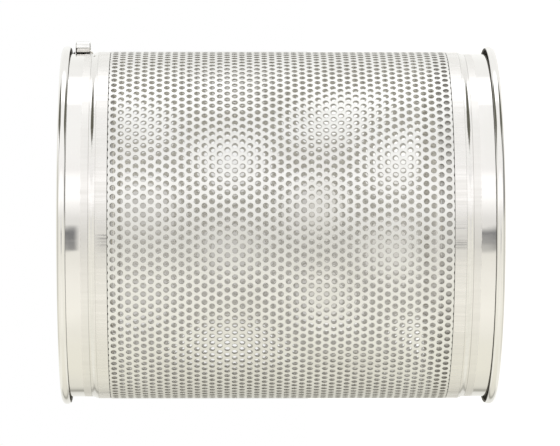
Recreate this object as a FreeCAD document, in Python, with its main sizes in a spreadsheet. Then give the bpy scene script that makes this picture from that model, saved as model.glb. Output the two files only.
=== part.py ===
import FreeCAD, Part
import os

import Sketcher
from FreeCAD import Placement, Rotation, Vector

# Open-ended perforated mould shell: a rolled perforated sheet between two formed collars.
#
# The mould stands on its lower rim. Its axis is +Z and the origin is the centre of the circle it
# stands on. All lengths are in millimetres and all angles in degrees. The sheet is drawn plain:
# its holes are too many and too small for this model.

OUT_DIR = "parts"
SHEET_NAME = "dims"

# The driving dimensions, one spreadsheet cell each: alias, value, note.
DIMENSIONS = [
    ("mouldHeight", 242.0, "overall height, rim to rim"),
    ("bandOuterRadius", 96.4, "outside of a collar's plain band and of its spigot"),
    ("collarWall", 1.0, "wall of a collar"),
    ("neckOuterRadius", 97.4, "outside of a collar's raised neck"),
    ("rollRadius", 2.6, "outer radius of the rolled rim's section"),
    ("rimDepth", 4.9, "how far the rolled rim's lip reaches along the axis"),
    ("shoulderStart", 16.9, "end of the plain band, from the rim"),
    ("shoulderLength", 3.8, "length of the S-shaped rise from band to neck"),
    ("neckEnd", 27.1, "where the neck steps down to the spigot, from the rim"),
    ("neckBend", 0.4, "bend radius at the neck's step"),
    ("lowerSpigotEnd", 34.3, "end of the lower collar's spigot, from its rim"),
    ("upperSpigotEnd", 29.4, "end of the upper collar's spigot, from its rim"),
    ("shellOuterRadius", 97.5, "outside of the rolled perforated sheet"),
    ("shellWall", 1.0, "thickness of the perforated sheet"),
    ("shellInset", 27.35, "distance from each rim to the sheet's edge"),
    ("seamWidth", 1.6, "gap between the sheet's edges, filled by the seam weld"),
    ("seamCrown", 0.25, "height of the seam weld above the outside of the sheet"),
    ("seamEndGap", 0.4, "how far the seam weld stops short of the sheet's edges"),
    ("seamAngle", 160.0, "where the seam runs, counted about +Z from +X"),
    ("jointWeldLeg", 0.7, "leg of the fillet weld between a spigot's end and the sheet"),
    ("pinRadius", 3.6, "radius of the locating pin"),
    ("pinLength", 8.4, "length of the locating pin"),
    ("pinChamfer", 0.6, "chamfer on the pin's ends"),
    ("pinInset", 7.2, "distance from the upper rim to the pin's near end"),
    ("pinSink", 0.12, "depth of the hollow that the pin's underside takes from the band"),
    ("pinWeldRadius", 1.5, "radius of the weld bead at the foot of each end of the pin"),
]


def dimension_sheet(doc):
    """The spreadsheet that every size comes from. Its cells hold plain numbers."""
    cells = doc.addObject("Spreadsheet::Sheet", SHEET_NAME)
    for row, (alias, size, note) in enumerate(DIMENSIONS, start=1):
        cells.set(f"A{row}", alias)
        cells.set(f"B{row}", repr(size))
        cells.set(f"C{row}", note)
        cells.setAlias(f"B{row}", alias)
    doc.recompute()
    return cells


def new_body(doc, label):
    """An empty body whose label names its STEP file."""
    body = doc.addObject("PartDesign::Body", label)
    body.Label = label
    return body


def origin_plane(body, role):
    """One of the body's own origin planes, such as XY_Plane."""
    return next(f for f in body.Origin.OriginFeatures if f.Role == role)


def hold(sketch, kind, element, point, formula):
    """Adds one dimension to the sketch and binds it to the spreadsheet."""
    size = sketch.evalExpression(formula)
    if kind == "Radius":
        index = sketch.addConstraint(Sketcher.Constraint(kind, element, size))
    else:
        index = sketch.addConstraint(
            Sketcher.Constraint(kind, -1, 1, element, point, size)
        )
    sketch.setExpression(f"Constraints[{index}]", formula)


def closed_profile(body, name, role, corners, arcs):
    """A closed sketch through the corners, each a pair of formulas.

    Edges are straight, apart from those in arcs, which maps the number of an edge's first corner
    to its centre, its turn (1 anticlockwise, -1 clockwise) and the dimension that fixes it.
    """
    sketch = body.newObject("Sketcher::SketchObject", name)
    sketch.AttachmentSupport = [(origin_plane(body, role), "")]
    sketch.MapMode = "FlatFace"
    places = [
        Vector(sketch.evalExpression(x), sketch.evalExpression(y), 0) for x, y in corners
    ]
    count = len(corners)
    start_point, end_point = {}, {}
    for i, first in enumerate(places):
        last = places[(i + 1) % count]
        if i in arcs:
            centre_formulas, turn, _ = arcs[i]
            centre = Vector(*[sketch.evalExpression(c) for c in centre_formulas], 0)
            ends = (first, last) if turn > 0 else (last, first)
            circle = Part.Circle(centre, Vector(0, 0, 1), (first - centre).Length)
            span = [circle.parameter(p) for p in ends]
            sketch.addGeometry(Part.ArcOfCircle(circle, *span), False)
            start_point[i], end_point[i] = (1, 2) if turn > 0 else (2, 1)
        else:
            sketch.addGeometry(Part.LineSegment(first, last), False)
            start_point[i], end_point[i] = 1, 2
    for i in range(count):
        after = (i + 1) % count
        joined = Sketcher.Constraint(
            "Coincident", i, end_point[i], after, start_point[after]
        )
        sketch.addConstraint(joined)
    for i, (x, y) in enumerate(corners):
        hold(sketch, "DistanceX", i, start_point[i], x)
        hold(sketch, "DistanceY", i, start_point[i], y)
    for i, (_, _, (kind, formula)) in arcs.items():
        hold(sketch, kind, i, 3, formula)
    if sketch.solve() != 0:
        raise RuntimeError(f"the sketch {name} does not solve")
    return sketch


def revolve(body, sketch):
    """Turns the sketch once round the body's own Z axis."""
    turned = body.newObject("PartDesign::Revolution", "revolution")
    turned.Profile = sketch
    turned.ReferenceAxis = (sketch, ["V_Axis"])
    turned.Angle = 360.0
    sketch.Visibility = False
    return turned


def pad(body, sketch, length_formula):
    """Raises the sketch along its own normal."""
    raised = body.newObject("PartDesign::Pad", "pad")
    raised.Profile = sketch
    raised.setExpression("Length", length_formula)
    return raised


def collar(doc, label, spigot_end):
    """One collar, with its rim at z = 0: rolled rim, plain band, S-shaped shoulder, raised neck,
    step and spigot, all of one wall thickness."""
    body = new_body(doc, label)
    band_in = "dims.bandOuterRadius - dims.collarWall"
    band_out = "dims.bandOuterRadius"
    neck_in = "dims.neckOuterRadius - dims.collarWall"
    neck_out = "dims.neckOuterRadius"
    rim_out = "dims.bandOuterRadius - dims.collarWall + 2 * dims.rollRadius"
    lip_in = "dims.bandOuterRadius - 2 * dims.collarWall + 2 * dims.rollRadius"
    roll_axis = "dims.bandOuterRadius - dims.collarWall + dims.rollRadius"
    roll = "dims.rollRadius"
    lip_end = "dims.rimDepth"
    rise_start = "dims.shoulderStart"
    rise_middle = "dims.shoulderStart + dims.shoulderLength / 2"
    rise_end = "dims.shoulderStart + dims.shoulderLength"
    step = "dims.neckOuterRadius - dims.bandOuterRadius"
    band_mid_out = "(dims.bandOuterRadius + dims.neckOuterRadius) / 2"
    band_mid_in = "(dims.bandOuterRadius + dims.neckOuterRadius) / 2 - dims.collarWall"
    bend_start = "dims.neckEnd - dims.neckBend"
    bend_radius = "dims.neckOuterRadius - dims.neckBend"
    step_in = "dims.neckEnd - dims.collarWall"
    swing = f"((dims.shoulderLength / 2)^2 + (({step}) / 2)^2) / ({step})"
    corners = [
        (band_in, roll),
        (rim_out, roll),
        (rim_out, lip_end),
        (lip_in, lip_end),
        (lip_in, roll),
        (band_out, roll),
        (band_out, rise_start),
        (band_mid_out, rise_middle),
        (neck_out, rise_end),
        (neck_out, bend_start),
        (bend_radius, "dims.neckEnd"),
        (band_out, "dims.neckEnd"),
        (band_out, spigot_end),
        (band_in, spigot_end),
        (band_in, step_in),
        (neck_in, step_in),
        (neck_in, rise_end),
        (band_mid_in, rise_middle),
        (band_in, rise_start),
    ]
    held_swing = ("Radius", swing)
    arcs = {
        0: ((roll_axis, roll), 1, ("DistanceY", roll)),
        4: ((roll_axis, roll), -1, ("DistanceY", roll)),
        6: ((f"{band_out} + {swing}", rise_start), -1, held_swing),
        7: ((f"{neck_out} - {swing}", rise_end), 1, held_swing),
        9: ((bend_radius, bend_start), 1, ("Radius", "dims.neckBend")),
        16: ((f"{neck_in} - {swing}", rise_end), -1, held_swing),
        17: ((f"{band_in} + {swing}", rise_start), 1, held_swing),
    }
    revolve(body, closed_profile(body, "section", "XZ_Plane", corners, arcs))
    return body


def turn_over(body):
    """Stands a piece drawn from the lower rim on the upper rim instead."""
    body.Placement = Placement(Vector(0, 0, 0), Rotation(Vector(1, 0, 0), 180))
    body.setExpression("Placement.Base.z", "dims.mouldHeight")


def joint_weld(doc, label, spigot_end):
    """The fillet weld inside the mould, in the corner of a spigot's end and the sheet."""
    body = new_body(doc, label)
    sheet_in = "dims.shellOuterRadius - dims.shellWall"
    corners = [
        (f"{sheet_in} - dims.jointWeldLeg", spigot_end),
        (sheet_in, spigot_end),
        (sheet_in, f"{spigot_end} + dims.jointWeldLeg"),
    ]
    revolve(body, closed_profile(body, "section", "XZ_Plane", corners, {}))
    return body


def perforated_shell(doc):
    """The rolled sheet, with the gap between its two long edges on +X before it is turned."""
    body = new_body(doc, "perforated_shell")
    half = "dims.seamWidth / 2"
    outer = "dims.shellOuterRadius"
    inner = "dims.shellOuterRadius - dims.shellWall"
    outer_x = f"sqrt(({outer})^2 - ({half})^2)"
    inner_x = f"sqrt(({inner})^2 - ({half})^2)"
    corners = [
        (inner_x, half),
        (outer_x, half),
        (outer_x, f"0 - {half}"),
        (inner_x, f"0 - {half}"),
    ]
    arcs = {
        1: (("0", "0"), 1, ("Radius", outer)),
        3: (("0", "0"), -1, ("Radius", inner)),
    }
    sketch = closed_profile(body, "section", "XY_Plane", corners, arcs)
    pad(body, sketch, "dims.mouldHeight - 2 * dims.shellInset")
    stand_at_seam(body, "dims.shellInset")
    return body


def shell_seam_weld(doc):
    """The bead that fills the gap along the sheet, crowned outside and flush inside."""
    body = new_body(doc, "shell_seam_weld")
    half = "dims.seamWidth / 2"
    outer = "dims.shellOuterRadius"
    inner = "dims.shellOuterRadius - dims.shellWall"
    outer_x = f"sqrt(({outer})^2 - ({half})^2)"
    inner_x = f"sqrt(({inner})^2 - ({half})^2)"
    crown = f"((({half})^2 + dims.seamCrown^2) / (2 * dims.seamCrown))"
    corners = [
        (inner_x, half),
        (outer_x, half),
        (outer_x, f"0 - {half}"),
        (inner_x, f"0 - {half}"),
    ]
    arcs = {
        1: ((f"{outer_x} + dims.seamCrown - {crown}", "0"), -1, ("Radius", crown)),
        3: (("0", "0"), 1, ("Radius", inner)),
    }
    sketch = closed_profile(body, "section", "XY_Plane", corners, arcs)
    pad(body, sketch, "dims.mouldHeight - 2 * (dims.shellInset + dims.seamEndGap)")
    stand_at_seam(body, "dims.shellInset + dims.seamEndGap")
    return body


def stand_at_seam(body, height_formula):
    """Turns a piece drawn at +X to the seam's place and lifts it."""
    body.Placement = Placement(Vector(0, 0, 0), Rotation(Vector(0, 0, 1), 0))
    body.setExpression("Placement.Rotation.Angle", "dims.seamAngle")
    body.setExpression("Placement.Base.z", height_formula)


def primitive(doc, kind, label, sizes, place):
    """A Part primitive whose sizes and place are bound to the spreadsheet."""
    shape = doc.addObject(kind, label)
    for size, formula in sizes.items():
        shape.setExpression(size, formula)
    for axis, formula in place.items():
        shape.setExpression(f"Placement.Base.{axis}", formula)
    return shape


def band_cylinder(doc, label):
    """A solid of the band's outer radius, which cuts what sits on the band to fit it."""
    return primitive(
        doc,
        "Part::Cylinder",
        label,
        {"Radius": "dims.bandOuterRadius", "Height": "dims.mouldHeight"},
        {},
    )


def cut(doc, label, base, tool):
    """The base without the tool."""
    rest = doc.addObject("Part::Cut", label)
    rest.Base = base
    rest.Tool = tool
    rest.Label = label
    return rest


def locating_pin(doc):
    """A short round pin on the upper band at +X, parallel to the axis, seated on the band."""
    bar = primitive(
        doc,
        "Part::Cylinder",
        "pin_bar",
        {"Radius": "dims.pinRadius", "Height": "dims.pinLength"},
        {
            "x": "dims.bandOuterRadius + dims.pinRadius - dims.pinSink",
            "z": "dims.mouldHeight - dims.pinInset - dims.pinLength",
        },
    )
    doc.recompute()
    leg = bar.evalExpression("dims.pinChamfer")
    ends = doc.addObject("Part::Chamfer", "pin_ends")
    ends.Base = bar
    ends.Edges = [
        (number, leg, leg)
        for number, edge in enumerate(bar.Shape.Edges, start=1)
        if edge.Curve.TypeId == "Part::GeomCircle"
    ]
    return cut(doc, "locating_pin", ends, band_cylinder(doc, "pin_seat"))


def pin_welds(doc, pin):
    """A weld bead at the foot of each end of the pin, fitted to the band and to the pin."""
    ends = {
        "weld_bead_high": "dims.mouldHeight - dims.pinInset",
        "weld_bead_low": "dims.mouldHeight - dims.pinInset - dims.pinLength",
    }
    beads = doc.addObject("Part::MultiFuse", "weld_beads")
    beads.Shapes = [
        primitive(
            doc,
            "Part::Sphere",
            label,
            {"Radius": "dims.pinWeldRadius"},
            {"x": "dims.bandOuterRadius", "z": height},
        )
        for label, height in ends.items()
    ]
    on_band = cut(doc, "weld_on_band", beads, band_cylinder(doc, "weld_seat"))
    return cut(doc, "locating_pin_welds", on_band, pin)


def build():
    """Makes the document and returns the pieces that are written out."""
    doc = FreeCAD.newDocument("mould")
    dimension_sheet(doc)
    lower_collar = collar(doc, "lower_collar", "dims.lowerSpigotEnd")
    upper_collar = collar(doc, "upper_collar", "dims.upperSpigotEnd")
    turn_over(upper_collar)
    lower_weld = joint_weld(doc, "lower_joint_weld", "dims.lowerSpigotEnd")
    upper_weld = joint_weld(doc, "upper_joint_weld", "dims.upperSpigotEnd")
    turn_over(upper_weld)
    shell = perforated_shell(doc)
    seam = shell_seam_weld(doc)
    pin = locating_pin(doc)
    welds = pin_welds(doc, pin)
    doc.recompute()
    pieces = [lower_collar, upper_collar, lower_weld, upper_weld, shell, seam, pin, welds]
    return doc, pieces


def check(doc, pieces):
    """Stops if any object failed to build or a piece is not a valid closed solid."""
    for thing in doc.Objects:
        if "Invalid" in thing.State or "Error" in thing.State:
            raise RuntimeError(f"{thing.Label} failed: {thing.State}")
    for piece in pieces:
        shape = piece.Shape
        if shape.isNull() or not shape.isValid() or not shape.Solids:
            raise RuntimeError(f"{piece.Label} is not a valid solid")
        if any(solid.Volume <= 0 for solid in shape.Solids):
            raise RuntimeError(f"{piece.Label} has a solid with no volume")


def write(pieces):
    """Writes each piece to its own STEP file, named by its label."""
    os.makedirs(OUT_DIR, exist_ok=True)
    for piece in pieces:
        piece.Shape.exportStep(os.path.join(OUT_DIR, f"{piece.Label}.step"))
        box = piece.Shape.BoundBox
        print(
            f"{piece.Label:20s} solids {len(piece.Shape.Solids)} "
            f"volume {piece.Shape.Volume:10.1f} mm3  "
            f"x {box.XMin:.2f}..{box.XMax:.2f}  y {box.YMin:.2f}..{box.YMax:.2f}  "
            f"z {box.ZMin:.2f}..{box.ZMax:.2f}"
        )


mould_doc, mould_pieces = build()
check(mould_doc, mould_pieces)
write(mould_pieces)
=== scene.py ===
import math

import bpy
import numpy as np
from mathutils import Matrix, Vector


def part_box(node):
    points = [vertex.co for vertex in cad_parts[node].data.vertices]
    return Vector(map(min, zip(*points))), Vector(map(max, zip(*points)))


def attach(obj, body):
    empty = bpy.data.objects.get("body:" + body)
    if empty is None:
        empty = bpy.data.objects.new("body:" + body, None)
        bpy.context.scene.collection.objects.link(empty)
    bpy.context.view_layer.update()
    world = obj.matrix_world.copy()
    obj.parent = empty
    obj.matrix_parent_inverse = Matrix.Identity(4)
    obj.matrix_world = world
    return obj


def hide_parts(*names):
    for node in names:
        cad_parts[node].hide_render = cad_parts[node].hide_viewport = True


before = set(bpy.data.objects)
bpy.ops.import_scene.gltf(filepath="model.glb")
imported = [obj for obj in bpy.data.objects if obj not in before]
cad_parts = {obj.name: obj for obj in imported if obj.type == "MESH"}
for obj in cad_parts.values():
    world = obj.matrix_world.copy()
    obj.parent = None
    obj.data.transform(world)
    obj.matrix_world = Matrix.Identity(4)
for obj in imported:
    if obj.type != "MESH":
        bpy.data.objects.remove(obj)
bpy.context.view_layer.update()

mm = 0.001
scene = bpy.context.scene

# Places on the mould that several pieces share, all read from the CAD model.
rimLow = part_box("lower_collar")[0].z
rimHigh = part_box("upper_collar")[1].z
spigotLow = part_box("lower_collar")[1].z
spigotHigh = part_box("upper_collar")[0].z
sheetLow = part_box("perforated_shell")[0].z
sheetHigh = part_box("perforated_shell")[1].z
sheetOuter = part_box("perforated_shell")[1].x
sheetMiddle = (sheetLow + sheetHigh) / 2
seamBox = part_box("shell_seam_weld")
seamAzimuth = math.atan2(seamBox[0].y + seamBox[1].y, seamBox[0].x + seamBox[1].x)
print("frame loaded, mould", round((rimHigh - rimLow) / mm, 1), "mm tall")


def finishPiece(name, mesh, cadNode):
    # every piece rides on the one rigid body and stands for the CAD node of the same part
    piece = bpy.data.objects.new(name, mesh)
    scene.collection.objects.link(piece)
    mesh.polygons.foreach_set("use_smooth", np.ones(len(mesh.polygons), bool))
    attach(piece, "root")
    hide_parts(cadNode)
    return piece


def stagePiece(name, mesh, material):
    piece = bpy.data.objects.new(name, mesh)
    scene.collection.objects.link(piece)
    mesh.materials.append(material)
    return piece


def meshFromQuads(name, points, quads):
    mesh = bpy.data.meshes.new(name)
    mesh.vertices.add(points.size // 3)
    mesh.vertices.foreach_set("co", points.ravel())
    mesh.loops.add(quads.size)
    mesh.loops.foreach_set("vertex_index", quads.ravel().astype(np.int32))
    mesh.polygons.add(len(quads))
    mesh.polygons.foreach_set("loop_start", np.arange(0, quads.size, 4, dtype=np.int32))
    mesh.update(calc_edges=True)
    return mesh


def gridQuads(rows, columns, closeRows, closeColumns):
    # quads between neighbours of a grid, wrapping round where it is closed
    lastRow = rows if closeRows else rows - 1
    lastColumn = columns if closeColumns else columns - 1
    r, c = np.meshgrid(np.arange(lastRow), np.arange(lastColumn), indexing="ij")
    nextR, nextC = (r + 1) % rows, (c + 1) % columns
    corners = [r * columns + c, r * columns + nextC, nextR * columns + nextC, nextR * columns + c]
    return np.stack([corner.ravel() for corner in corners], axis=1)


def roundAxis(radius, angle, height):
    # x = radius * cos(angle), y = radius * sin(angle), z = height
    return np.stack([radius * np.cos(angle), radius * np.sin(angle), height + 0 * angle], axis=2)


def bentOutline(corners, stepAngle):
    # A closed outline through corners (radius, height, bend radius). Each corner becomes an arc
    # tangent to both of its sides: its ends lie bend * tan(half the turn) from the corner.
    points = []
    count = len(corners)
    for i, (cornerR, cornerZ, bend) in enumerate(corners):
        here = np.array([cornerR, cornerZ])
        before = np.array(corners[i - 1][:2]) - here
        after = np.array(corners[(i + 1) % count][:2]) - here
        before, after = before / np.linalg.norm(before), after / np.linalg.norm(after)
        turn = math.pi - math.acos(np.clip(before @ after, -1, 1))
        middle = before + after
        middle = middle / np.linalg.norm(middle)
        centre = here + middle * bend / math.cos(turn / 2)
        steps = max(2, math.ceil(turn / stepAngle) + 1)
        side = 1 if before[0] * after[1] - before[1] * after[0] > 0 else -1
        angles = np.linspace(turn / 2, -turn / 2, steps) * side
        out, cos, sin = -middle, np.cos(angles), np.sin(angles)
        turned = np.stack([out[0] * cos - out[1] * sin, out[0] * sin + out[1] * cos], axis=1)
        points.append(centre + turned * bend)
    outline = np.concatenate(points)
    gap = np.linalg.norm(outline - np.roll(outline, 1, axis=0), axis=1)
    return outline[gap > 1e-9]


collarSettings = {
    "bandRadius": 96.4 * mm,      # outside of the plain band
    "neckRise": 1.0 * mm,         # neck stands this far above the band
    "wall": 1.0 * mm,
    "rollRadius": 2.6 * mm,       # outer radius of the rolled rim
    "rimDepth": 4.9 * mm,         # how far the rolled lip reaches from the rim
    "lipCurl": 1.0 * mm,          # the lip's end turns in by this much
    "lipBend": 3.0 * mm,          # bends where it turns in, outside and inside
    "lipInnerBend": 1.6 * mm,
    "shoulderStart": 16.9 * mm,   # from the rim, as the neck's end is
    "shoulderLength": 3.8 * mm,
    "neckEnd": 27.1 * mm,
    "edgeBend": 0.25 * mm,        # break on cut edges
    "neckBend": 0.2 * mm,
    "sides": 384,                 # faces in one full turn
    "stepAngle": math.radians(9),     # the bends turn by no more than this in one step
}


def collarOutline(s, spigotLength):
    # The rim is a roll whose section is a half circle open underneath; the shoulder is an S of two
    # equal tangent arcs, radius (half length squared + half rise squared) / rise.
    band, wall, roll = s["bandRadius"], s["wall"], s["rollRadius"]
    neck = band + s["neckRise"]
    inner = band - wall
    lipOut = inner + 2 * roll
    lipIn = lipOut - wall
    swing = ((s["shoulderLength"] / 2) ** 2 + (s["neckRise"] / 2) ** 2) / s["neckRise"]
    slope = math.asin(s["shoulderLength"] / 2 / swing)
    reach = swing * math.tan(slope / 2)
    riseFoot = s["shoulderStart"] + reach
    riseHead = s["shoulderStart"] + s["shoulderLength"] - reach
    edge, tight, curl = s["edgeBend"], s["neckBend"], s["lipCurl"]
    step = s["neckEnd"]
    return bentOutline(
        [
            (inner, 0, roll),
            (lipOut, 0, roll),
            (lipOut, s["rimDepth"] - curl, s["lipBend"]),
            (lipOut - curl, s["rimDepth"], edge / 2),
            (lipIn - curl, s["rimDepth"] - 0.7 * wall, edge / 2),
            (lipIn, s["rimDepth"] - curl - 0.4 * wall, s["lipInnerBend"]),
            (lipIn, wall, roll - wall),
            (band, wall, roll - wall),
            (band, riseFoot, swing),
            (neck, riseHead, swing),
            (neck, step, tight),
            (band, step, edge / 2),
            (band, spigotLength, edge),
            (inner, spigotLength, edge),
            (inner, step - wall, edge / 2),
            (neck - wall, step - wall, tight),
            (neck - wall, riseHead, swing),
            (inner, riseFoot, swing),
        ],
        s["stepAngle"],
    )


def turnedRing(name, outline, sides, cadNode):
    # Each outline point (radius, height) is carried round the axis.
    angle = np.linspace(0, 2 * math.pi, sides, endpoint=False)
    points = roundAxis(outline[:, 0:1], angle, outline[:, 1:2])
    quads = gridQuads(len(outline), sides, True, True)
    area = np.sum(
        outline[:, 0] * np.roll(outline[:, 1], -1) - np.roll(outline[:, 0], -1) * outline[:, 1]
    )
    if area < 0:      # an outline that runs clockwise gives inward faces
        quads = quads[:, ::-1]
    return finishPiece(name, meshFromQuads(name, points, quads), cadNode)


def makeCollars():
    s = collarSettings
    low = collarOutline(s, spigotLow - rimLow)
    low[:, 1] += rimLow
    high = collarOutline(s, rimHigh - spigotHigh)
    high[:, 1] = rimHigh - high[:, 1]
    print("collars turned,", len(low), "points in the outline")
    return [
        turnedRing("lowerCollar", low, s["sides"], "lower_collar"),
        turnedRing("upperCollar", high, s["sides"], "upper_collar"),
    ]


sheetSettings = {
    "outer": sheetOuter,
    "wall": 1.0 * mm,
    "columnsRound": 126,          # holes in one full turn
    "rows": 45,                   # full rows of holes along the axis
    "rowStep": 4.129 * mm,
    "holeRadius": 1.5875 * mm,
    "firstColumn": math.radians(0.424),   # first column's angle from -Y towards +X
    "seamGap": 1.6 * mm,
    "seamMargin": 0.6 * mm,       # plain metal kept between the seam's edge and the first cell
    "marginColumns": 5,           # columns of faces across that plain metal
    "rowSag": 1.15 * mm,          # rows at the back sit this much lower than in front
    "rowSagFade": 22.0 * mm,      # and come level again over this length at both ends
    "holeSides": 12,              # as many as hexCell's border has points
    "edgeRoll": 0.18 * mm,        # width of the edge that the punch rolled over
    "edgeSink": 0.08 * mm,        # and how far it sinks
    "sectors": 4,                 # the sheet is meshed in this many closed strips
    "snap": 1e-4 * mm,            # points of the flat pattern nearer than this are one point
}


def hexCell(pitch, rowStep, radii, holeSides):
    # The cell of one hole is the hexagon of points nearer to it than to any other hole. Its six
    # corners and the six middles of its sides answer to twelve points on each of two rings, the
    # outer and the inner border of the hole's rolled edge. A ring of straight sides has the area
    # of the true circle.
    side = (rowStep**2 - pitch**2 / 4) / (2 * rowStep)
    top = (rowStep**2 + pitch**2 / 4) / (2 * rowStep)
    middle = (side + top) / 2
    right = [(pitch / 2, 0), (pitch / 2, side), (pitch / 4, middle), (0, top)]
    border = right + [(-u, z) for u, z in right[-2::-1]]
    border += [(u, -z) for u, z in border[-2:0:-1]]
    angle = np.arange(holeSides) * 2 * math.pi / holeSides
    evenArea = math.sqrt(2 * math.pi / (holeSides * math.sin(2 * math.pi / holeSides)))
    ring = evenArea * np.stack([np.cos(angle), np.sin(angle)], axis=1)
    return [np.array(border), ring * radii[0], ring * radii[1]], side, top, middle


def ringQuads(rings, sink, closed):
    # quads between rings of as many points each, as (u, z, depth below the surface); only the last
    # ring lies below the surface
    count = len(rings[0])
    k = np.arange(count if closed else count - 1)
    nextK = (k + 1) % count
    depths = [0.0] * (len(rings) - 1) + [sink]
    rings = [np.column_stack([ring, np.full(count, d)]) for ring, d in zip(rings, depths)]
    return np.concatenate(
        [
            np.stack([out[k], out[nextK], into[nextK], into[k]], axis=1)
            for out, into in zip(rings, rings[1:])
        ]
    )


def sheetPattern(s):
    # The flat pattern of the sheet as quads of points (arc length, height, depth), cell by cell.
    # Arc length is counted at the outer surface from -Y towards +X.
    outer, rowStep = s["outer"], s["rowStep"]
    pitch = outer * 2 * math.pi / s["columnsRound"]
    radii = [s["holeRadius"] + s["edgeRoll"] / 2, s["holeRadius"] - s["edgeRoll"] / 2]
    rings, side, top, middle = hexCell(pitch, rowStep, radii, s["holeSides"])
    seam = seamAzimuth + math.pi / 2              # from -Y towards +X
    seamHigh = outer * seam - s["seamGap"] / 2
    seamLow = outer * (seam - 2 * math.pi) + s["seamGap"] / 2
    start = outer * s["firstColumn"]
    first = math.ceil((seamLow + s["seamMargin"] - start) / pitch + 0.5)
    last = math.floor((seamHigh - s["seamMargin"] - start) / pitch - 0.5)
    half = (s["rows"] - 1) // 2
    rowHeight = sheetMiddle + (half - np.arange(-1, s["rows"] + 1)) * rowStep
    quads, sector = [], []
    width = (last - first + 1) / s["sectors"]

    def add(template, u, z):
        # template is an array of quads of points about a cell's own middle
        placed = template[None] + np.stack([u, z, 0 * u], axis=1)[:, None, None, :]
        quads.append(placed.reshape(-1, 4, 3))
        column = (u - start) / pitch - first
        which = np.clip((column / width).astype(int), 0, s["sectors"] - 1)
        sector.append(np.repeat(which, len(template)))

    full = ringQuads(rings, s["edgeSink"], True)
    for row, height in enumerate(rowHeight[1:-1]):
        shift = 0.5 * (row % 2)
        columns = np.arange(first, last + 1 - row % 2) + shift
        add(full, start + columns * pitch, np.full(len(columns), height))

    # the first row of holes outside each end only nicks the sheet's edge
    nickColumns = start + (np.arange(first, last) + 0.5) * pitch
    for height, edge, up in ((rowHeight[-1], sheetLow, 1), (rowHeight[0], sheetHigh, -1)):
        cut = abs(edge - height)
        corners = [(pitch / 2, cut), (pitch / 2, side), (pitch / 4, middle), (0, top)]
        halves = [np.array(corners)]
        for radius in (radii[0], s["holeRadius"]):
            angle = np.linspace(math.asin(cut / radius), math.pi / 2, len(corners))
            halves.append(radius * np.stack([np.cos(angle), np.sin(angle)], axis=1))
        nick = [np.concatenate([half, half[-2::-1] * (-1, 1)]) for half in halves]
        cell = ringQuads(nick, s["edgeSink"], False)
        if up < 0:
            cell = (cell * (1, -1, 1))[:, ::-1]
        add(cell, nickColumns, np.full(len(nickColumns), height))

    # plain margins: from the zigzag edge of the last cells straight across to the seam's edge
    heights, offsets = [sheetLow, rowHeight[-2] - top], [0.0, 0.0]
    for row in reversed(range(s["rows"])):
        height = rowHeight[row + 1]
        if row % 2:
            heights += [height - side, height, height + side]
            offsets += [0.0, 0.0, 0.0]
        else:
            heights += [height - middle, height - side, height, height + side, height + middle]
            offsets += [0.25, 0.5, 0.5, 0.5, 0.25]
    heights += [rowHeight[1] + top, sheetHigh]
    offsets += [0.0, 0.0]
    heights, offsets = np.array(heights), np.array(offsets) * pitch
    for columnEdge, seamEdge, sign, which in (
        (start + last * pitch, seamHigh, 1, s["sectors"] - 1),
        (start + first * pitch, seamLow, -1, 0),
    ):
        zigzag = np.stack([columnEdge + sign * offsets, heights, 0 * heights], axis=1)
        straight = np.stack([seamEdge + 0 * heights, heights, 0 * heights], axis=1)
        steps = np.linspace(0, 1, s["marginColumns"] + 1)
        lines = [zigzag + (straight - zigzag) * t for t in steps]
        for near, far in zip(lines, lines[1:]):
            strip = np.stack([near[:-1], far[:-1], far[1:], near[1:]], axis=1)
            if sign < 0:
                strip = strip[:, ::-1]
            quads.append(strip)
            sector.append(np.full(len(strip), which))
    return np.concatenate(quads), np.concatenate(sector)


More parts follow.
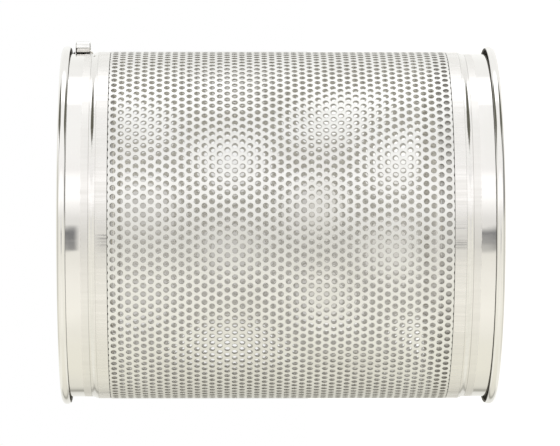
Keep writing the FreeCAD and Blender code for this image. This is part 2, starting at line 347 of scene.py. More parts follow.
def rolledSheet(name, flatQuads, s):
    # The flat pattern is rolled: angle = arc length / outer radius, x = radius * sin(angle),
    # y = -radius * cos(angle). Rows sag towards the back by sag * sin(angle / 2) ** 4, as in a
    # sheet that was rolled a little out of true, except near both ends. The same pattern at the
    # inner radius, turned over, is the inside, and a wall joins the two along every edge that
    # only one quad uses.
    keys = np.round(flatQuads.reshape(-1, 3) / s["snap"]).astype(np.int64)
    unique, index = np.unique(keys, axis=0, return_inverse=True)
    flat = unique * s["snap"]
    quads = index.reshape(-1, 4)
    count = len(flat)
    edges = np.stack([quads, np.roll(quads, -1, axis=1)], axis=2).reshape(-1, 2)
    edges = edges[edges[:, 0] != edges[:, 1]]
    there = edges[:, 0] * count + edges[:, 1]
    back = edges[:, 1] * count + edges[:, 0]
    border = edges[~np.isin(there, back)]
    near, far = border[:, 0], border[:, 1]
    walls = np.stack([far, near, near + count, far + count], axis=1)
    angle = flat[:, 0] / s["outer"]
    inset = np.minimum(flat[:, 1] - sheetLow, sheetHigh - flat[:, 1]) / s["rowSagFade"]
    inset = np.clip(inset, 0, 1)
    sagShare = inset**2 * (3 - 2 * inset)
    flat[:, 1] -= s["rowSag"] * np.sin(angle / 2) ** 4 * sagShare
    outward = np.stack([np.sin(angle), -np.cos(angle)], axis=1)
    layers = [
        np.column_stack([outward * radius, flat[:, 1]])
        for radius in (s["outer"] - flat[:, 2:], s["outer"] - s["wall"])
    ]
    points = np.concatenate(layers)
    allQuads = np.concatenate([quads, quads[:, ::-1] + count, walls])
    mesh = meshFromQuads(name, points, allQuads)
    piece = finishPiece(name, mesh, "perforated_shell")
    # shading: the two faces of the sheet are true cylinders, rolled edges and cut walls keep
    # their own facing
    corner = points[allQuads]
    across = np.cross(corner[:, 1] - corner[:, 0], corner[:, 3] - corner[:, 0])
    across /= np.linalg.norm(across, axis=1, keepdims=True)
    facing = np.repeat(across[:, None], 4, axis=1)
    faceCount = len(quads)
    radial = np.column_stack([outward, np.zeros(count)])
    level = flat[quads][:, :, 2].max(axis=1) == 0
    facing[:faceCount][level] = radial[quads[level]]
    facing[faceCount : 2 * faceCount] = -radial[quads[:, ::-1]]
    mesh.normals_split_custom_set(facing.reshape(-1, 3))
    return piece


def makeSheet():
    s = sheetSettings
    quads, sector = sheetPattern(s)
    strips = [
        rolledSheet(f"perforatedSheet{number + 1}", quads[sector == number], s)
        for number in range(s["sectors"])
    ]
    print("perforated sheet rolled,", len(quads), "quads in the flat pattern")
    return strips


jointWeldSettings = {
    "leg": 0.7 * mm,
    "sag": 0.06 * mm,             # the bead's face is this hollow
    "ripple": 0.05 * mm,
    "ripplesRound": 430,
    "samplesPerRipple": 4,
    "facePoints": 5,
}


def jointWeld(name, corner, legSign, cadNode, seed):
    # A fillet of triangular section in the corner (radius, height) of the sheet and a spigot's end.
    # Its face runs from one leg's end to the other; the depth off the straight line is
    # -sag * sin(pi * t) + ripple * sin(pi * t) * wave(angle), t from 0 to 1 along the face.
    s = jointWeldSettings
    rng = np.random.default_rng(seed)
    sides = s["ripplesRound"] * s["samplesPerRipple"]
    angle = np.linspace(0, 2 * math.pi, sides, endpoint=False)
    drift = sum(0.5 * np.sin(k * angle + rng.uniform(0, 6.3)) for k in (3, 7, 13, 29))
    wave = np.sin(s["ripplesRound"] * angle + drift) + 0.5 * drift
    t = np.linspace(0, 1, s["facePoints"])[:, None]
    hump = np.sin(math.pi * t)
    depth = hump * (s["ripple"] * wave[None] * 0.5 - s["sag"])
    faceRadius = corner[0] - s["leg"] * (1 - t) - depth / math.sqrt(2)
    faceHeight = corner[1] + legSign * (s["leg"] * t + depth / math.sqrt(2))
    radius = np.concatenate([np.full((1, sides), corner[0]), faceRadius])
    height = np.concatenate([np.full((1, sides), corner[1]), faceHeight])
    points = roundAxis(radius, angle, height)
    quads = gridQuads(len(radius), sides, True, True)
    if legSign > 0:
        quads = quads[:, ::-1]
    return finishPiece(name, meshFromQuads(name, points, quads), cadNode)


seamWeldSettings = {
    "width": 1.6 * mm,
    "crown": 0.25 * mm,
    "crownPower": 0.8,            # below 1 the crown is flatter on top and steeper at the sides
    "endGap": 0.4 * mm,           # the bead stops this far from the sheet's ends
    "ripplePitch": 1.1 * mm,
    "rippleDepth": 0.07 * mm,
    "rippleBow": 0.35,            # the ripples trail by this part of a pitch at the sides
    "samplesPerRipple": 6,
    "acrossPoints": 9,
}


def seamWeld():
    # The bead fills the sheet's gap. Across it, at t from -1 to 1, it stands out by
    # (crown - ripple * (1 - wave) / 2) * (1 - t squared) ** power, and the wave trails at the sides:
    # wave = sin(2 pi * (z / pitch + bow * t squared)). Its inner face follows the sheet's inside.
    s = seamWeldSettings
    low, high = sheetLow + s["endGap"], sheetHigh - s["endGap"]
    count = int((high - low) / s["ripplePitch"]) * s["samplesPerRipple"]
    z = np.linspace(low, high, count)[:, None]
    t = np.linspace(-1, 1, s["acrossPoints"])[None]
    rng = np.random.default_rng(11)
    drift = sum(0.3 * np.sin(z * k + rng.uniform(0, 6.3)) for k in (90, 210, 430))
    wave = np.sin(2 * math.pi * (z / s["ripplePitch"] + s["rippleBow"] * t**2) + drift)
    fall = (1 - t**2) ** s["crownPower"]
    rise = (s["crown"] - s["rippleDepth"]) * fall + s["rippleDepth"] * fall * (0.5 + 0.5 * wave)
    inner = sheetOuter - sheetSettings["wall"]
    halfOut, halfIn = (math.asin(s["width"] / 2 / r) for r in (sheetOuter, inner))
    angle = seamAzimuth + np.concatenate([t * halfOut, -t * halfIn], axis=1) + 0 * z
    radius = np.concatenate([sheetOuter + rise, np.full_like(rise, inner)], axis=1)
    points = roundAxis(radius, angle, z)
    columns = points.shape[1]
    quads = gridQuads(count, columns, False, True)
    half = s["acrossPoints"]
    k = np.arange(half - 1)
    lid = np.stack([k, k + 1, columns - 2 - k, columns - 1 - k], axis=1)
    quads = np.concatenate([quads, lid[:, ::-1], lid + (count - 1) * columns])
    mesh = meshFromQuads("seamWeld", points, quads)
    return finishPiece("seamWeld", mesh, "shell_seam_weld")


pinSettings = {
    "chamfer": 0.6 * mm,
    "edgeBend": 0.12 * mm,
    "sides": 96,
    "poleHole": 0.02,             # each end's middle is one small face of this part of the radius
}


def locatingPin():
    # A short round bar along Z: its end outline (radius, distance from the end) is a flat, a
    # chamfer and the side, and each bend between them is cut with two or three points. Whatever
    # would lie inside the collar's band is moved straight out to the band.
    s = pinSettings
    low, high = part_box("locating_pin")
    radius = (high.y - low.y) / 2
    centreX = high.x - radius
    length = high.z - low.z
    c, b = s["chamfer"], s["edgeBend"]
    end = np.array(
        [
            (s["poleHole"] * radius, 0),
            (0.5 * radius, 0),
            (radius - c - b, 0),
            (radius - c, 0.2 * b),
            (radius - c + 0.7 * b, 0.7 * b),
            (radius - 0.7 * b, c - 0.7 * b),
            (radius - 0.2 * b, c),
            (radius, c + b),
            (radius, length * 0.3),
        ]
    )
    outline = np.concatenate([end, end[::-1] * (1, -1) + (0, length)])
    angle = np.linspace(0, 2 * math.pi, s["sides"], endpoint=False)
    r, z = outline[:, 0:1], outline[:, 1:2] + low.z
    x = centreX + r * np.cos(angle)
    y = r * np.sin(angle)
    push = np.maximum(1, collarSettings["bandRadius"] / np.hypot(x, y))
    points = np.stack([x * push, y * push, z + 0 * angle], axis=2)
    quads = gridQuads(len(outline), s["sides"], False, True)
    mesh = capEnds(points, quads, "locatingPin")
    return finishPiece("locatingPin", mesh, "locating_pin")


def capEnds(points, quads, name):
    # closes the small round hole left at each end of a turned grid with one face
    rows, columns = points.shape[:2]
    faces = [tuple(int(i) for i in quad) for quad in quads]
    faces.append(tuple(range(columns - 1, -1, -1)))
    faces.append(tuple(range((rows - 1) * columns, rows * columns)))
    mesh = bpy.data.meshes.new(name)
    mesh.from_pydata(points.reshape(-1, 3).tolist(), [], faces)
    mesh.update()
    return mesh


pinWeldSettings = {
    "radius": 1.5 * mm,
    "ripple": 0.06 * mm,
    "ripples": 9,                 # full ripples in a turn of the polar angle
    "rings": 36,
    "sides": 20,
    "poleGap": 0.02,              # radians left open at each pole, where one small face closes it
}


def pinWeld(number, height, towards):
    # A bead in the corner of the band and the pin's end, a quarter of a ball whose radius swells
    # and sinks in ripples, radius - ripple * (1 - cos(ripples * polar angle)) / 2. It stands on
    # the band, x = square root of (band squared - y squared), and against the pin's end face.
    s = pinWeldSettings
    band = collarSettings["bandRadius"]
    polar = np.linspace(s["poleGap"], math.pi - s["poleGap"], s["rings"])[:, None]
    around = np.linspace(0, math.pi / 2, s["sides"])[None]
    r = s["radius"] - s["ripple"] * (0.5 - 0.5 * np.cos(s["ripples"] * polar))
    out = r * np.sin(polar) * np.cos(around)
    along = r * np.sin(polar) * np.sin(around)
    out, along = np.pad(out, ((0, 0), (0, 1))), np.pad(along, ((0, 0), (0, 1)))
    y = r * np.cos(polar) + 0 * out
    x = np.sqrt(band**2 - y**2) + out
    points = np.stack([x, y, height + towards * along], axis=2)
    quads = gridQuads(s["rings"], s["sides"] + 1, False, True)
    mesh = capEnds(points if towards > 0 else points[::-1], quads, f"pinWeld{number}")
    return finishPiece(f"pinWeld{number}", mesh, "locating_pin_welds")


def makeWeldsAndPin():
    inner = sheetOuter - sheetSettings["wall"]
    low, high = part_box("locating_pin")
    pieces = [
        jointWeld("lowerJointWeld", (inner, spigotLow), 1, "lower_joint_weld", 3),
        jointWeld("upperJointWeld", (inner, spigotHigh), -1, "upper_joint_weld", 4),
        seamWeld(),
        pinWeld(1, low.z, -1),
        pinWeld(2, high.z, 1),
    ]
    print("welds laid,", len(pieces), "beads")
    return pieces, locatingPin()


def plugIn(tree, node, inputs):
    # an input is either another node's output, which is linked, or a value
    for socket, value in inputs.items():
        if isinstance(value, bpy.types.NodeSocket):
            tree.links.new(value, node.inputs[socket])
        else:
            node.inputs[socket].default_value = value
    return node


def addNode(tree, kind, inputs=None, **settings):
    node = tree.nodes.new("ShaderNode" + kind)
    for name, value in settings.items():
        setattr(node, name, value)
    return plugIn(tree, node, inputs or {})


def maths(tree, operation, first, second=0.0):
    return addNode(tree, "Math", {0: first, 1: second}, operation=operation).outputs[0]


def times(tree, first, second):
    return maths(tree, "MULTIPLY", first, second)


def plus(tree, first, second):
    return maths(tree, "ADD", first, second)


def allOf(tree, first, *others):
    # masks multiplied together
    for mask in others:
        first = times(tree, first, mask)
    return first


def ramp(tree, value, fromLow, fromHigh, toLow=0.0, toHigh=1.0):
    # smooth step from one range to another
    inputs = {"From Min": fromLow, "From Max": fromHigh, "To Min": toLow, "To Max": toHigh}
    inputs["Value"] = value
    return addNode(tree, "MapRange", inputs, interpolation_type="SMOOTHSTEP").outputs[0]


def mixed(tree, factor, first, second):
    # plain mix of two numbers; the Mix node's number sockets are 0, 2 and 3
    return addNode(tree, "Mix", {0: factor, 2: first, 3: second}, data_type="FLOAT").outputs[0]


def mixedColour(tree, factor, first, second):
    # the same for colours, sockets 6 and 7; a fixed colour is given as red, green and blue
    colours = [(*value, 1) if isinstance(value, tuple) else value for value in (first, second)]
    inputs = {0: factor, 6: colours[0], 7: colours[1]}
    return addNode(tree, "Mix", inputs, data_type="RGBA").outputs[2]


def newGroup(name, inputs, outputs):
    group = bpy.data.node_groups.new(name, "ShaderNodeTree")
    for label, value in inputs.items():
        socket = group.interface.new_socket(label, in_out="INPUT", socket_type="NodeSocketFloat")
        socket.default_value = value
    for label in outputs:
        group.interface.new_socket(label, in_out="OUTPUT", socket_type="NodeSocketFloat")
    given = group.nodes.new("NodeGroupInput")
    made = group.nodes.new("NodeGroupOutput")
    return group, given.outputs, made.inputs


def useGroup(tree, group, **inputs):
    return addNode(tree, "Group", inputs, node_tree=group).outputs


def stretchedNoise(group, across, along, detail, seed):
    # Noise on Object coordinates, squeezed to `across` per metre in X and Y and `along` in Z.
    place = addNode(group, "TexCoord").outputs["Object"]
    scale = addNode(group, "CombineXYZ", {"X": across, "Y": across, "Z": along}).outputs[0]
    scaled = addNode(group, "VectorMath", {0: place, 1: scale}, operation="MULTIPLY").outputs[0]
    shifted = addNode(group, "VectorMath", {0: scaled, 1: (seed, seed * 1.7, seed * 0.3)})
    return addNode(
        group, "TexNoise", {"Vector": shifted.outputs[0], "Scale": 1, "Detail": detail}
    ).outputs[0]


def axialBrushGroup():
    # fine streaks that run along the mould's axis, in two widths
    group, given, made = newGroup("axialBrush", {"Across": 1500.0, "Along": 40.0}, ["Streak"])
    fine = stretchedNoise(group, given["Across"], given["Along"], 2, 3.1)
    wideAcross = times(group, given["Across"], 0.3)
    wideAlong = times(group, given["Along"], 0.45)
    wide = stretchedNoise(group, wideAcross, wideAlong, 2, 9.4)
    fine, wide = times(group, fine, 0.55), times(group, wide, 0.45)
    both = plus(group, fine, wide)
    group.links.new(ramp(group, both, 0.3, 0.7), made["Streak"])
    return group


def turningLinesGroup():
    # fine lines that run round the mould, left by turning and polishing
    group, given, made = newGroup("turningLines", {"Lines": 3000.0, "Round": 12.0}, ["Line"])
    fine = stretchedNoise(group, given["Round"], given["Lines"], 3, 5.2)
    group.links.new(ramp(group, fine, 0.32, 0.68), made["Line"])
    return group


def handlingGroup():
    # soft smudges a few centimetres wide, and small dull specks
    inputs = {"Smudges": 28.0, "Specks": 700.0}
    group, given, made = newGroup("handling", inputs, ["Smudge", "Speck"])
    smudge = stretchedNoise(group, given["Smudges"], given["Smudges"], 4, 1.3)
    group.links.new(ramp(group, smudge, 0.38, 0.66), made["Smudge"])
    speck = stretchedNoise(group, given["Specks"], given["Specks"], 1, 7.7)
    group.links.new(ramp(group, speck, 0.68, 0.76), made["Speck"])
    return group


def edgeWearGroup():
    # brighter, smoother metal where an edge has been rubbed
    group, given, made = newGroup("edgeWear", {"Low": 0.52, "High": 0.6}, ["Wear"])
    edge = addNode(group, "NewGeometry").outputs["Pointiness"]
    patchy = stretchedNoise(group, 180, 180, 2, 4.4)
    worn = ramp(group, edge, given["Low"], given["High"])
    group.links.new(times(group, worn, ramp(group, patchy, 0.3, 0.6)), made["Wear"])
    return group


def rimDistanceGroup():
    # distance along the axis from the nearer rim
    group, _, made = newGroup("rimDistance", {}, ["Distance"])
    place = addNode(group, "TexCoord").outputs["Object"]
    z = addNode(group, "SeparateXYZ", {0: place}).outputs["Z"]
    fromMiddle = maths(group, "ABSOLUTE", maths(group, "SUBTRACT", z, (rimLow + rimHigh) / 2))
    distance = maths(group, "SUBTRACT", (rimHigh - rimLow) / 2, fromMiddle)
    group.links.new(distance, made["Distance"])
    return group


def axisDistanceGroup():
    # distance from the mould's axis
    group, _, made = newGroup("axisDistance", {}, ["Distance"])
    place = addNode(group, "TexCoord").outputs["Object"]
    flat = addNode(group, "VectorMath", {0: place, 1: (1, 1, 0)}, operation="MULTIPLY").outputs[0]
    length = addNode(group, "VectorMath", {0: flat}, operation="LENGTH").outputs["Value"]
    group.links.new(length, made["Distance"])
    return group


def newMetal(name):
    material = bpy.data.materials.new(name)
    material.use_nodes = True
    tree = material.node_tree
    shader = tree.nodes["Principled BSDF"]
    shader.inputs["Metallic"].default_value = 1
    return material, tree, shader


def surface(tree, shader, colour, rough, height, strength, distance):
    bump = addNode(tree, "Bump", {"Height": height, "Strength": strength, "Distance": distance})
    plugIn(tree, shader, {"Base Color": colour, "Roughness": rough, "Normal": bump.outputs[0]})


sheetFinish = {
    "bright": (0.82, 0.812, 0.778),
    "dull": (0.70, 0.685, 0.645),
    "roughLow": 0.33,
    "roughHigh": 0.43,
    "worn": (0.86, 0.845, 0.82),
    "wornShare": 0.6,
    "inside": (0.68, 0.665, 0.63),        # the unpolished inner face
    "rolled": (0.34, 0.33, 0.305),        # painted shade on the rolled edges round each hole
    "insideEnd": 0.8 * mm,        # the inner face's colour is full this deep in the wall
    "smudgeDull": 0.5,
    "smudgeRough": 0.05,
    "smudges": 22.0,              # patterns count their marks per metre
    "streakDull": 0.35,
    "streaksAcross": 900.0,
    "streaksAlong": 12.0,
    "bump": 0.5,
    "bumpDepth": 0.012 * mm,
}


def sheetSteel(groups):
    s = sheetFinish
    material, tree, shader = newMetal("perforatedSheetSteel")
    streak = useGroup(
        tree, groups["axialBrush"], Across=s["streaksAcross"], Along=s["streaksAlong"]
    )["Streak"]
    smudge = useGroup(tree, groups["handling"], Smudges=s["smudges"])["Smudge"]
    wear = useGroup(tree, groups["edgeWear"])["Wear"]
    dullness = times(tree, smudge, s["smudgeDull"])
    dullness = plus(tree, dullness, times(tree, streak, s["streakDull"]))
    colour = mixedColour(tree, dullness, s["bright"], s["dull"])
    colour = mixedColour(tree, times(tree, wear, s["wornShare"]), colour, s["worn"])
    # the inner face, then the painted shade on the rolled edges, which lie just below the outer
    # surface
    fromAxis = useGroup(tree, groups["axisDistance"])["Distance"]
    sink = sheetSettings["edgeSink"]
    outer = ramp(tree, fromAxis, sheetOuter - s["insideEnd"], sheetOuter - 2 * sink)
    level = ramp(tree, fromAxis, sheetOuter - 0.6 * sink, sheetOuter - 0.1 * sink)
    colour = mixedColour(tree, level, s["rolled"], colour)
    colour = mixedColour(tree, outer, s["inside"], colour)
    rough = mixed(tree, streak, s["roughLow"], s["roughHigh"])
    rough = plus(tree, rough, times(tree, smudge, s["smudgeRough"]))
    surface(tree, shader, colour, rough, streak, s["bump"], s["bumpDepth"])
    return material


collarFinish = {
    "polish": (0.82, 0.80, 0.765),
    "satin": (0.80, 0.78, 0.745),
    "polishEnd": 12.8 * mm,       # polished band, from the rim
    "polishFade": 0.2 * mm,
    "brushOverrun": 0.5 * mm,     # the satin's brush strokes stop unevenly
    "polishRough": 0.045,
    "shoulderRough": 0.09,
    "satinRough": 0.33,
    "neckRough": 0.29,
    "roughSpread": 0.36,          # the brushed finishes mix smooth and rough strokes
    "satinSpread": 0.35,          # the satin has this part of the neck's spread
    "satinBump": 0.02 * mm,
    "polishBump": 0.0015 * mm,
    "bump": 0.6,
    "smudged": (0.74, 0.72, 0.68),
    "smudgedShare": 0.3,
    "smudgeRough": 0.04,
    "speckRough": 0.1,
    "worn": (0.88, 0.865, 0.84),
    "wornShare": 0.4,
    "brushed": (0.62, 0.60, 0.56),
    "brushedShare": 0.22,
    "inside": (0.60, 0.585, 0.55),
    "insideEnds": (0.8 * mm, 0.3 * mm),   # depth below the band where it is full, and where it stops
    "paintedReflectionLine": (0.30, 0.29, 0.26),           # painted reflection: thin dark lines at the shoulder's foot and head, where the bend mirrors the dark card
    "paintedReflectionStrength": (0.5, 0.3),
    "paintedReflectionHalfWidth": 0.3 * mm,
    "shadeAndGrime": (0.12, 0.115, 0.10),         # painted shade in the roll's hollow, and painted shade with grime under the sheet's edge
    "shadeAndGrimeRough": 0.85,
    "shadeAndGrimeGloss": 0.15,
    "hollowShare": 0.96,
    "underShare": (0.9, 0.45),            # just past the neck's end, and further under the sheet
    "wallFade": (0.3 * mm, 0.1 * mm),     # painted shade and grime on the band start this far below its surface
    "lipFade": (0.7 * mm, 0.95 * mm),     # and ends this far inside the lip's outer radius
    "roofFade": (0.8 * mm, 0.95 * mm),    # and starts this far from the rim
}


def collarSteel(groups):
    # Three finishes by the distance from the rim: polished, satin, and the brushed neck.
    s = collarFinish
    material, tree, shader = newMetal("collarSteel")
    distance = useGroup(tree, groups["rimDistance"])["Distance"]
    streak = useGroup(tree, groups["axialBrush"], Across=900.0, Along=7.0)["Streak"]
    line = useGroup(tree, groups["turningLines"], Lines=3600.0, Round=9.0)["Line"]
    handling = useGroup(tree, groups["handling"], Smudges=34.0, Specks=900.0)
    wear = useGroup(tree, groups["edgeWear"])["Wear"]
    fromAxis = useGroup(tree, groups["axisDistance"])["Distance"]
    uneven = maths(tree, "SUBTRACT", streak, 0.5)
    ragged = plus(tree, distance, times(tree, uneven, s["brushOverrun"]))
    satin = ramp(tree, ragged, s["polishEnd"] - s["polishFade"], s["polishEnd"] + s["polishFade"])
    foot = collarSettings["shoulderStart"]
    head = foot + collarSettings["shoulderLength"]
    neck = ramp(tree, distance, head - 0.4 * mm, head + 0.2 * mm)
    shoulder = ramp(tree, distance, foot - 0.3 * mm, foot + 0.3 * mm)

    colour = mixedColour(tree, satin, s["polish"], s["satin"])
    smudged = times(tree, handling["Smudge"], s["smudgedShare"])
    colour = mixedColour(tree, smudged, colour, s["smudged"])
    colour = mixedColour(tree, times(tree, wear, s["wornShare"]), colour, s["worn"])
    brushed = times(tree, times(tree, streak, satin), s["brushedShare"])
    colour = mixedColour(tree, brushed, colour, s["brushed"])
    # painted reflection: a thin dark line at the shoulder's foot and another at its head
    for place, strength in zip((foot, head), s["paintedReflectionStrength"]):
        off = maths(tree, "ABSOLUTE", maths(tree, "SUBTRACT", distance, place))
        paintedReflectionLine = ramp(tree, off, 0.2 * s["paintedReflectionHalfWidth"], s["paintedReflectionHalfWidth"], strength, 0)
        colour = mixedColour(tree, paintedReflectionLine, colour, s["paintedReflectionLine"])

    # painted shade in the roll's hollow: between the band and the lip, from the roof to the mouth,
    # which is nearer the rim beside the band
    band = collarSettings["bandRadius"]
    lip = band - collarSettings["wall"] + 2 * collarSettings["rollRadius"]
    rimDepth, neckEnd = collarSettings["rimDepth"], collarSettings["neckEnd"]
    onBand = ramp(tree, fromAxis, *(band - depth for depth in s["wallFade"]))
    inLip = ramp(tree, fromAxis, *(lip - depth for depth in s["lipFade"]))
    roof = ramp(tree, distance, *s["roofFade"])
    nearBand = ramp(tree, fromAxis, band + 0.2 * mm, band + 0.5 * mm, 2.2 * mm, 0)
    mouth = ramp(tree, plus(tree, distance, nearBand), rimDepth, rimDepth + 0.3 * mm, 1, 0)
    hollow = allOf(tree, onBand, inLip, roof, mouth, s["hollowShare"])
    # and painted shade with grime on the spigot under the sheet's edge
    pastNeck = ramp(tree, distance, neckEnd - 0.1 * mm, neckEnd)
    further = ramp(tree, distance, neckEnd + 0.8 * mm, neckEnd + 1.1 * mm, *s["underShare"])
    dark = maths(tree, "MAXIMUM", hollow, allOf(tree, pastNeck, onBand, further))
    # painted shade, with grime under the sheet's edge: darker colour and less metal
    colour = mixedColour(tree, dark, colour, s["shadeAndGrime"])
    bareMetal = maths(tree, "SUBTRACT", 1, dark)
    plugIn(tree, shader, {"Metallic": bareMetal, "Specular IOR Level": s["shadeAndGrimeGloss"]})
    outer = ramp(tree, fromAxis, *(band - depth for depth in s["insideEnds"]))
    colour = mixedColour(tree, outer, s["inside"], colour)

    rough = mixed(tree, satin, s["polishRough"], s["satinRough"])
    rough = mixed(tree, shoulder, rough, s["shoulderRough"])
    rough = mixed(tree, neck, rough, s["neckRough"])
    share = mixed(tree, neck, s["satinSpread"], 1.0)
    rough = plus(tree, rough, allOf(tree, uneven, s["roughSpread"], share, satin))
    rough = plus(tree, rough, times(tree, handling["Smudge"], s["smudgeRough"]))
    rough = plus(tree, rough, times(tree, handling["Speck"], s["speckRough"]))
    rough = mixed(tree, dark, rough, s["shadeAndGrimeRough"])
    height = mixed(tree, satin, s["polishBump"] / s["satinBump"], 1.0)
    height = times(tree, mixed(tree, satin, line, streak), height)
    surface(tree, shader, colour, rough, height, s["bump"], s["satinBump"])
    return material


weldFinish = {
    "bright": (0.74, 0.73, 0.70),
    "straw": (0.66, 0.62, 0.54),
    "worn": (0.82, 0.81, 0.79),
    "roughLow": 0.36,
    "roughHigh": 0.5,
    "bumpDepth": 0.02 * mm,
}


def weldSteel(groups):
    s = weldFinish
    material, tree, shader = newMetal("weldSteel")
    handling = useGroup(tree, groups["handling"], Smudges=160.0, Specks=1600.0)
    wear = useGroup(tree, groups["edgeWear"])["Wear"]
    colour = mixedColour(tree, handling["Smudge"], s["bright"], s["straw"])
    colour = mixedColour(tree, wear, colour, s["worn"])
    rough = mixed(tree, handling["Smudge"], s["roughLow"], s["roughHigh"])
    surface(tree, shader, colour, rough, handling["Speck"], 0.4, s["bumpDepth"])
    return material


pinFinish = {
    "colour": (0.84, 0.83, 0.80),
    "dull": (0.64, 0.62, 0.58),
    "dullShare": 0.3,
    "worn": (0.86, 0.85, 0.83),
    "roughLow": 0.12,
    "roughHigh": 0.3,
    "footShade": (0.05, 0.045, 0.035),     # painted shade at the pin's foot beside the welds, where it meets the band
    "footShadeReach": 1.4 * mm,
    "bumpDepth": 0.01 * mm,
}


def pinSteel(groups):
    s = pinFinish
    material, tree, shader = newMetal("pinSteel")
    line = useGroup(tree, groups["turningLines"], Lines=5200.0, Round=60.0)["Line"]
    smudge = useGroup(tree, groups["handling"], Smudges=260.0)["Smudge"]
    wear = useGroup(tree, groups["edgeWear"])["Wear"]
    colour = mixedColour(tree, times(tree, smudge, s["dullShare"]), s["colour"], s["dull"])
    colour = mixedColour(tree, wear, colour, s["worn"])
    fromAxis = useGroup(tree, groups["axisDistance"])["Distance"]
    band = collarSettings["bandRadius"]
    # painted shade: the pin darkens towards the band it lies on
    foot = ramp(tree, fromAxis, band + s["footShadeReach"], band + 0.4 * s["footShadeReach"])
    colour = mixedColour(tree, foot, colour, s["footShade"])
    rough = mixed(tree, line, s["roughLow"], s["roughHigh"])
    surface(tree, shader, colour, rough, line, 0.5, s["bumpDepth"])
    return material


def makeMaterials():
    groups = {
        "axialBrush": axialBrushGroup(),
        "turningLines": turningLinesGroup(),
        "handling": handlingGroup(),
        "edgeWear": edgeWearGroup(),
        "rimDistance": rimDistanceGroup(),
        "axisDistance": axisDistanceGroup(),
    }
    metals = [sheetSteel(groups), collarSteel(groups), weldSteel(groups), pinSteel(groups)]
    print("materials made,", len(metals), "metals from", len(groups), "groups")
    return metals


def dress(pieces, material):
    for piece in pieces:
        piece.data.materials.append(material)


collars = makeCollars()
sheetStrips = makeSheet()
welds, pin = makeWeldsAndPin()
sheetMetal, collarMetal, weldMetal, pinMetal = makeMaterials()
dress(collars, collarMetal)
dress(sheetStrips, sheetMetal)
dress(welds, weldMetal)
dress([pin], pinMetal)

# What surrounds the mould, by direction: degrees round the axis from -Y towards +X, the light
# there, and its red and blue beside green. The axis itself is Z.
studioSettings = {
    "round": [
        (-180, 0.95, 1.00, 0.97),
        (-160, 0.88, 1.00, 0.95),
        (-153, 0.84, 1.00, 0.95),
        (-150, 0.54, 1.01, 0.91),
        (-147, 0.40, 1.01, 0.90),
        (-143, 0.70, 1.01, 0.91),
        (-138, 0.84, 1.01, 0.91),
        (-131, 0.88, 1.01, 0.91),
        (-112, 0.95, 1.01, 0.90),
        (-88, 0.97, 1.01, 0.91),
        (-78, 1.00, 1.01, 0.93),
        (-60, 1.08, 1.01, 0.94),
        (-36, 1.05, 1.01, 0.95),
        (-20, 0.97, 1.01, 0.95),
        (4, 0.94, 1.00, 1.00),
        (14, 1.18, 1.00, 1.01),
        (18, 1.32, 1.00, 1.02),
        (32, 1.32, 1.00, 1.02),
        (37, 1.12, 1.00, 1.02),
        (60, 1.12, 0.99, 1.01),
        (87, 1.14, 0.99, 1.02),
        (91, 1.75, 0.99, 1.03),
        (111, 1.75, 0.99, 1.03),
        (119, 1.08, 0.99, 1.01),
        (140, 1.06, 0.99, 1.00),
        (160, 1.08, 0.99, 0.99),
        (180, 0.95, 1.00, 0.97),
    ],
    # how dark a card near the camera is, by degrees, beyond the upper and the lower rim
    "cardHigh": [
        (-17.4, 0.0), (-16.2, 0.72), (-15.2, 0.79), (-11.0, 0.82), (-10.6, 0.74), (-9.9, 0.74),
        (-9.4, 0.87), (-4.3, 0.88), (-2.5, 0.76), (-1.0, 0.55), (0.2, 0.0),
    ],
    "cardLow": [
        (-18.8, 0.0), (-17.2, 0.38), (-12.9, 0.43), (-12.2, 0.60), (-7.0, 0.67), (-6.3, 0.70),
        (-5.7, 0.82), (-5.0, 0.82), (-4.5, 0.65), (-3.2, 0.42), (-1.6, 0.0),
    ],
    "gapLight": 0.15,             # dark gaps between the lights, above and to both ends
    "endLight": 0.72,             # beyond the two ends
    "lowGlow": 1.02,              # towards both ends, below the middle
    "lowEndLight": 0.28,          # beyond the lower rim, above the middle
    "warmth": 0.93,               # blue beside green in the light from the ends
    "gapWarmth": 0.8,
    "card": (0.1, 0.105, 0.12),
    # where the card's two profiles meet, and where it stops, by the direction's Z
    "cardBlend": (-0.075, 0.035),
    "cardTop": (0.02, 0.06),
    "cardFoot": (-0.2, -0.16),
}


def profile(tree, value, stops):
    # a number that follows straight lines between the stops (value, number)
    low, high = stops[0][0], stops[-1][0]
    along = maths(tree, "DIVIDE", maths(tree, "SUBTRACT", value, low), high - low)
    node = addNode(tree, "ValToRGB", {0: along})
    elements = node.color_ramp.elements
    for _ in stops[2:]:
        elements.new(0.5)
    for element, (place, number) in zip(elements, stops):
        element.position = (place - low) / (high - low)
        element.color = (number, number, number, 1)
    return node.outputs[0]


def tinted(light, blue):
    return (light, light, light * blue)


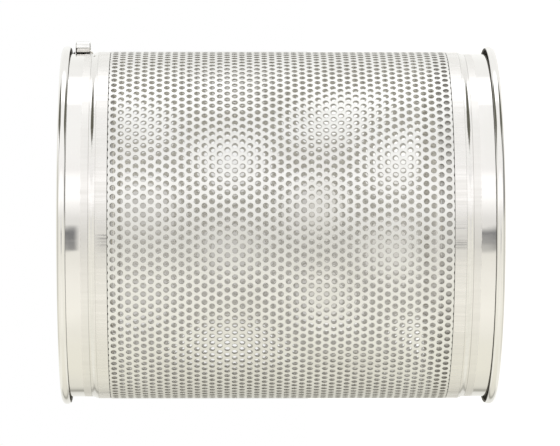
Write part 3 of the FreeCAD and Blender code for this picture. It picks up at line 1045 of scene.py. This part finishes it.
def makeWorld():
    s = studioSettings
    world = bpy.data.worlds.new("studio")
    world.use_nodes = True
    tree = world.node_tree
    background = tree.nodes["Background"]
    direction = addNode(tree, "TexCoord").outputs["Generated"]
    axes = addNode(tree, "SeparateXYZ", {0: direction}).outputs
    x, y, z = axes["X"], axes["Y"], axes["Z"]
    side = maths(tree, "ABSOLUTE", z)
    angle = maths(tree, "ARCTAN2", x, times(tree, y, -1))
    turn = plus(tree, maths(tree, "DIVIDE", angle, 2 * math.pi), 0.5)
    around = addNode(tree, "ValToRGB", {0: turn})
    stops = around.color_ramp.elements
    for degrees, *_ in s["round"][1:-1]:
        stops.new(degrees / 360 + 0.5)
    for stop, (degrees, light, red, blue) in zip(stops, s["round"]):
        stop.position = degrees / 360 + 0.5
        stop.color = (light * red, light, light * blue, 1)
    # card: only in directions near the level of the mould's middle
    degreesRound = times(tree, angle, 180 / math.pi)
    high = profile(tree, degreesRound, s["cardHigh"])
    low = profile(tree, degreesRound, s["cardLow"])
    card = mixed(tree, ramp(tree, z, *s["cardBlend"]), low, high)
    card = allOf(tree, card, ramp(tree, z, *s["cardTop"], 1, 0), ramp(tree, z, *s["cardFoot"]))
    # gaps: upper half, towards both ends, in front of the white wall behind the mould
    gap = allOf(
        tree,
        ramp(tree, side, 0.42, 0.5),
        ramp(tree, side, 0.8, 0.88, 1, 0),
        ramp(tree, x, 0.02, 0.2),
        ramp(tree, y, 0.4, 0.52, 1, 0),
        ramp(tree, y, -0.32, -0.22),
    )
    # the lower half's glow towards both ends
    ends = allOf(
        tree,
        ramp(tree, side, 0.3, 0.42),
        ramp(tree, side, 0.58, 0.74, 1, 0),
        ramp(tree, x, 0.0, 0.2, 1, 0),
    )
    farEnds = ramp(tree, side, 0.86, 0.94)
    colour = mixedColour(tree, ends, around.outputs[0], tinted(s["lowGlow"], s["warmth"]))
    colour = mixedColour(tree, farEnds, colour, tinted(s["endLight"], s["warmth"]))
    lowEnd = times(tree, ramp(tree, z, -0.8, -0.9), ramp(tree, x, 0.0, 0.15))
    colour = mixedColour(tree, lowEnd, colour, tinted(s["lowEndLight"], 1))
    colour = mixedColour(tree, gap, colour, tinted(s["gapLight"], s["gapWarmth"]))
    colour = mixedColour(tree, card, colour, s["card"])
    seen = addNode(tree, "LightPath").outputs["Is Camera Ray"]
    tree.links.new(mixedColour(tree, seen, colour, (1, 1, 1)), background.inputs["Color"])
    scene.world = world
    scene.view_settings.view_transform = "Standard"
    print("studio lit")


floorSettings = {
    "halfSide": 4.0,
    "paint": 0.62,
    "rough": 0.9,
    "glow": 0.62,
}


def makeFloor():
    # A pale floor under the lower rim. Metal lets it be, so that both ends of the mould mirror
    # the same studio; its own glow keeps it as pale as the backdrop.
    s = floorSettings
    h = s["halfSide"]
    corners = [(-h, -h, rimLow), (h, -h, rimLow), (h, h, rimLow), (-h, h, rimLow)]
    mesh = meshFromQuads("floor", np.array(corners), np.array([[0, 1, 2, 3]]))
    paint = bpy.data.materials.new("floorPaint")
    paint.use_nodes = True
    shader = paint.node_tree.nodes["Principled BSDF"]
    finish = {
        "Base Color": (*tinted(s["paint"], 1), 1),
        "Roughness": s["rough"],
        "Specular IOR Level": 0,
        "Emission Color": (1, 1, 1, 1),
        "Emission Strength": s["glow"],
    }
    plugIn(paint.node_tree, shader, finish)
    floor = stagePiece("floor", mesh, paint)
    floor.visible_glossy = False
    floor.visible_shadow = False
    print("floor laid")


shadeSettings = {
    "radius": 97.85 * mm,
    "sides": 192,
    "middle": (0.52, 0.505, 0.475),   # what comes through both walls at half height
    "ends": (0.93, 0.93, 0.92),   # and high up and low down, where the backdrop is brightest
    "highFade": (8.0 * mm, 50.0 * mm),
    "lowFade": (-48.0 * mm, -66.0 * mm),
}


def makeShade():
    # A clear skin round the sheet that only dims what is seen from inside outwards, for the part
    # of the backdrop that stands in the mould's own shade. It isn't part of the mould.
    s = shadeSettings
    angle = np.linspace(0, 2 * math.pi, s["sides"], endpoint=False)
    ring = np.stack([s["radius"] * np.cos(angle), s["radius"] * np.sin(angle)], axis=1)
    points = np.concatenate(
        [np.column_stack([ring, np.full(len(ring), z)]) for z in (sheetLow, sheetHigh)]
    )
    mesh = meshFromQuads("shade", points, gridQuads(2, s["sides"], False, True))
    skin = bpy.data.materials.new("shadeSkin")
    skin.use_nodes = True
    tree = skin.node_tree
    tree.nodes.clear()
    place = addNode(tree, "TexCoord").outputs["Object"]
    x = addNode(tree, "SeparateXYZ", {0: place}).outputs["X"]
    bright = plus(tree, ramp(tree, x, *s["highFade"]), ramp(tree, x, *s["lowFade"]))
    light = mixedColour(tree, bright, s["middle"], s["ends"])
    dim = addNode(tree, "BsdfTransparent", {"Color": light}).outputs[0]
    clear = addNode(tree, "BsdfTransparent").outputs[0]
    inside = addNode(tree, "NewGeometry").outputs["Backfacing"]
    both = addNode(tree, "MixShader", {0: inside, 1: clear, 2: dim}).outputs[0]
    out = addNode(tree, "OutputMaterial")
    tree.links.new(both, out.inputs["Surface"])
    shade = stagePiece("shade", mesh, skin)
    for kind in ("diffuse", "glossy", "transmission", "shadow", "volume_scatter"):
        setattr(shade, "visible_" + kind, False)
    print("shade set round the sheet")


cameraSettings = {
    "distance": 2.145,        # from the mould's axis, along -Y
    "height": 0.1599,
    "side": 0.0002,           # along +X
    "aimHeight": 0.1198,      # the point that it looks at, in the plane of the axis
    "aimSide": 0.0012,
    "lens": 244.6,
    "clip": (0.05, 20),
}


def makeCamera():
    # The camera is turned onto its side, so that +X is up in the picture and -Z is to the right.
    s = cameraSettings
    place = Vector((s["side"], -s["distance"], s["height"]))
    aim = Vector((s["aimSide"], 0, s["aimHeight"]))
    forward = (aim - place).normalized()
    right = forward.cross(Vector((1, 0, 0))).normalized()
    up = right.cross(forward)
    lens = bpy.data.cameras.new("camera")
    lens.lens = s["lens"]
    lens.clip_start, lens.clip_end = s["clip"]
    camera = bpy.data.objects.new("camera", lens)
    camera.matrix_world = Matrix.Translation(place) @ Matrix(
        [right, up, -forward]
    ).transposed().to_4x4()
    scene.collection.objects.link(camera)
    scene.camera = camera
    print("camera placed")


makeWorld()
makeFloor()
makeShade()
makeCamera()
